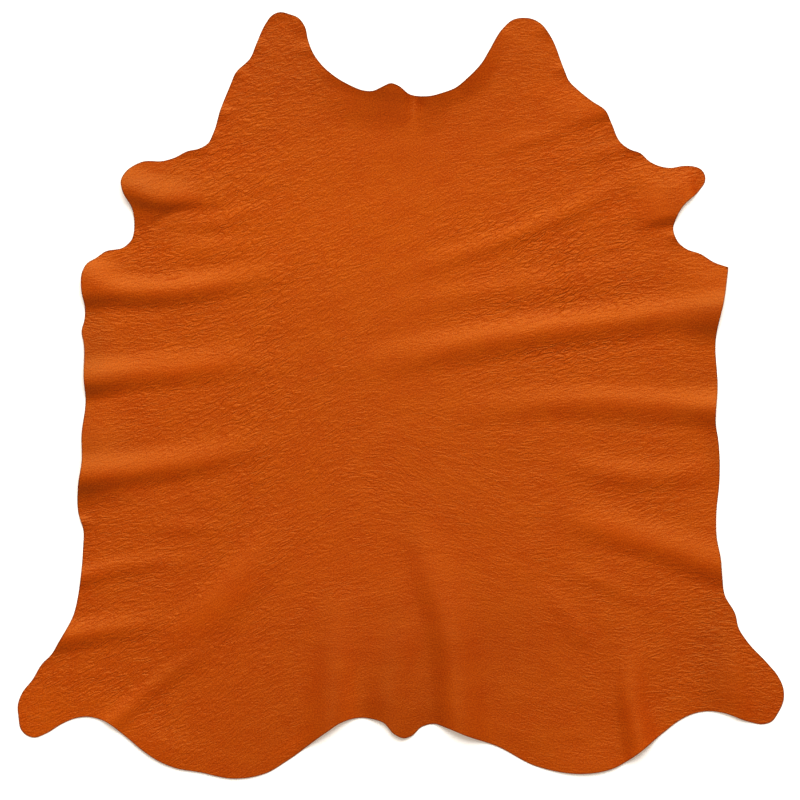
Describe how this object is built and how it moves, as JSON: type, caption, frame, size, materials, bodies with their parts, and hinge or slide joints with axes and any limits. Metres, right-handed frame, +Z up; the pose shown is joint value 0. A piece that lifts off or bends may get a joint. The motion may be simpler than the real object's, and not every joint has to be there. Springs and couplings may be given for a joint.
{
  "type": "leather hide",
  "caption": "Whole tanned cattle hide in burnt-orange pebbled leather, trimmed to its natural outline and laid out flat with soft folds at the belly edges.",
  "frame": {"origin": "under the middle of the laid-out hide, on the surface that it lies on", "axes": "+Z up out of the grain side, +Y from the tail towards the neck, +X to the right seen from above"},
  "size_m": [2.295, 2.297, 0.0324],
  "materials": {
    "leather": "burnt-orange aniline-dyed grain, pebbled and finely creased, soft satin"
  },
  "bodies": {
    "root": {"hide": "leather"}
  },
  "joints": []
}
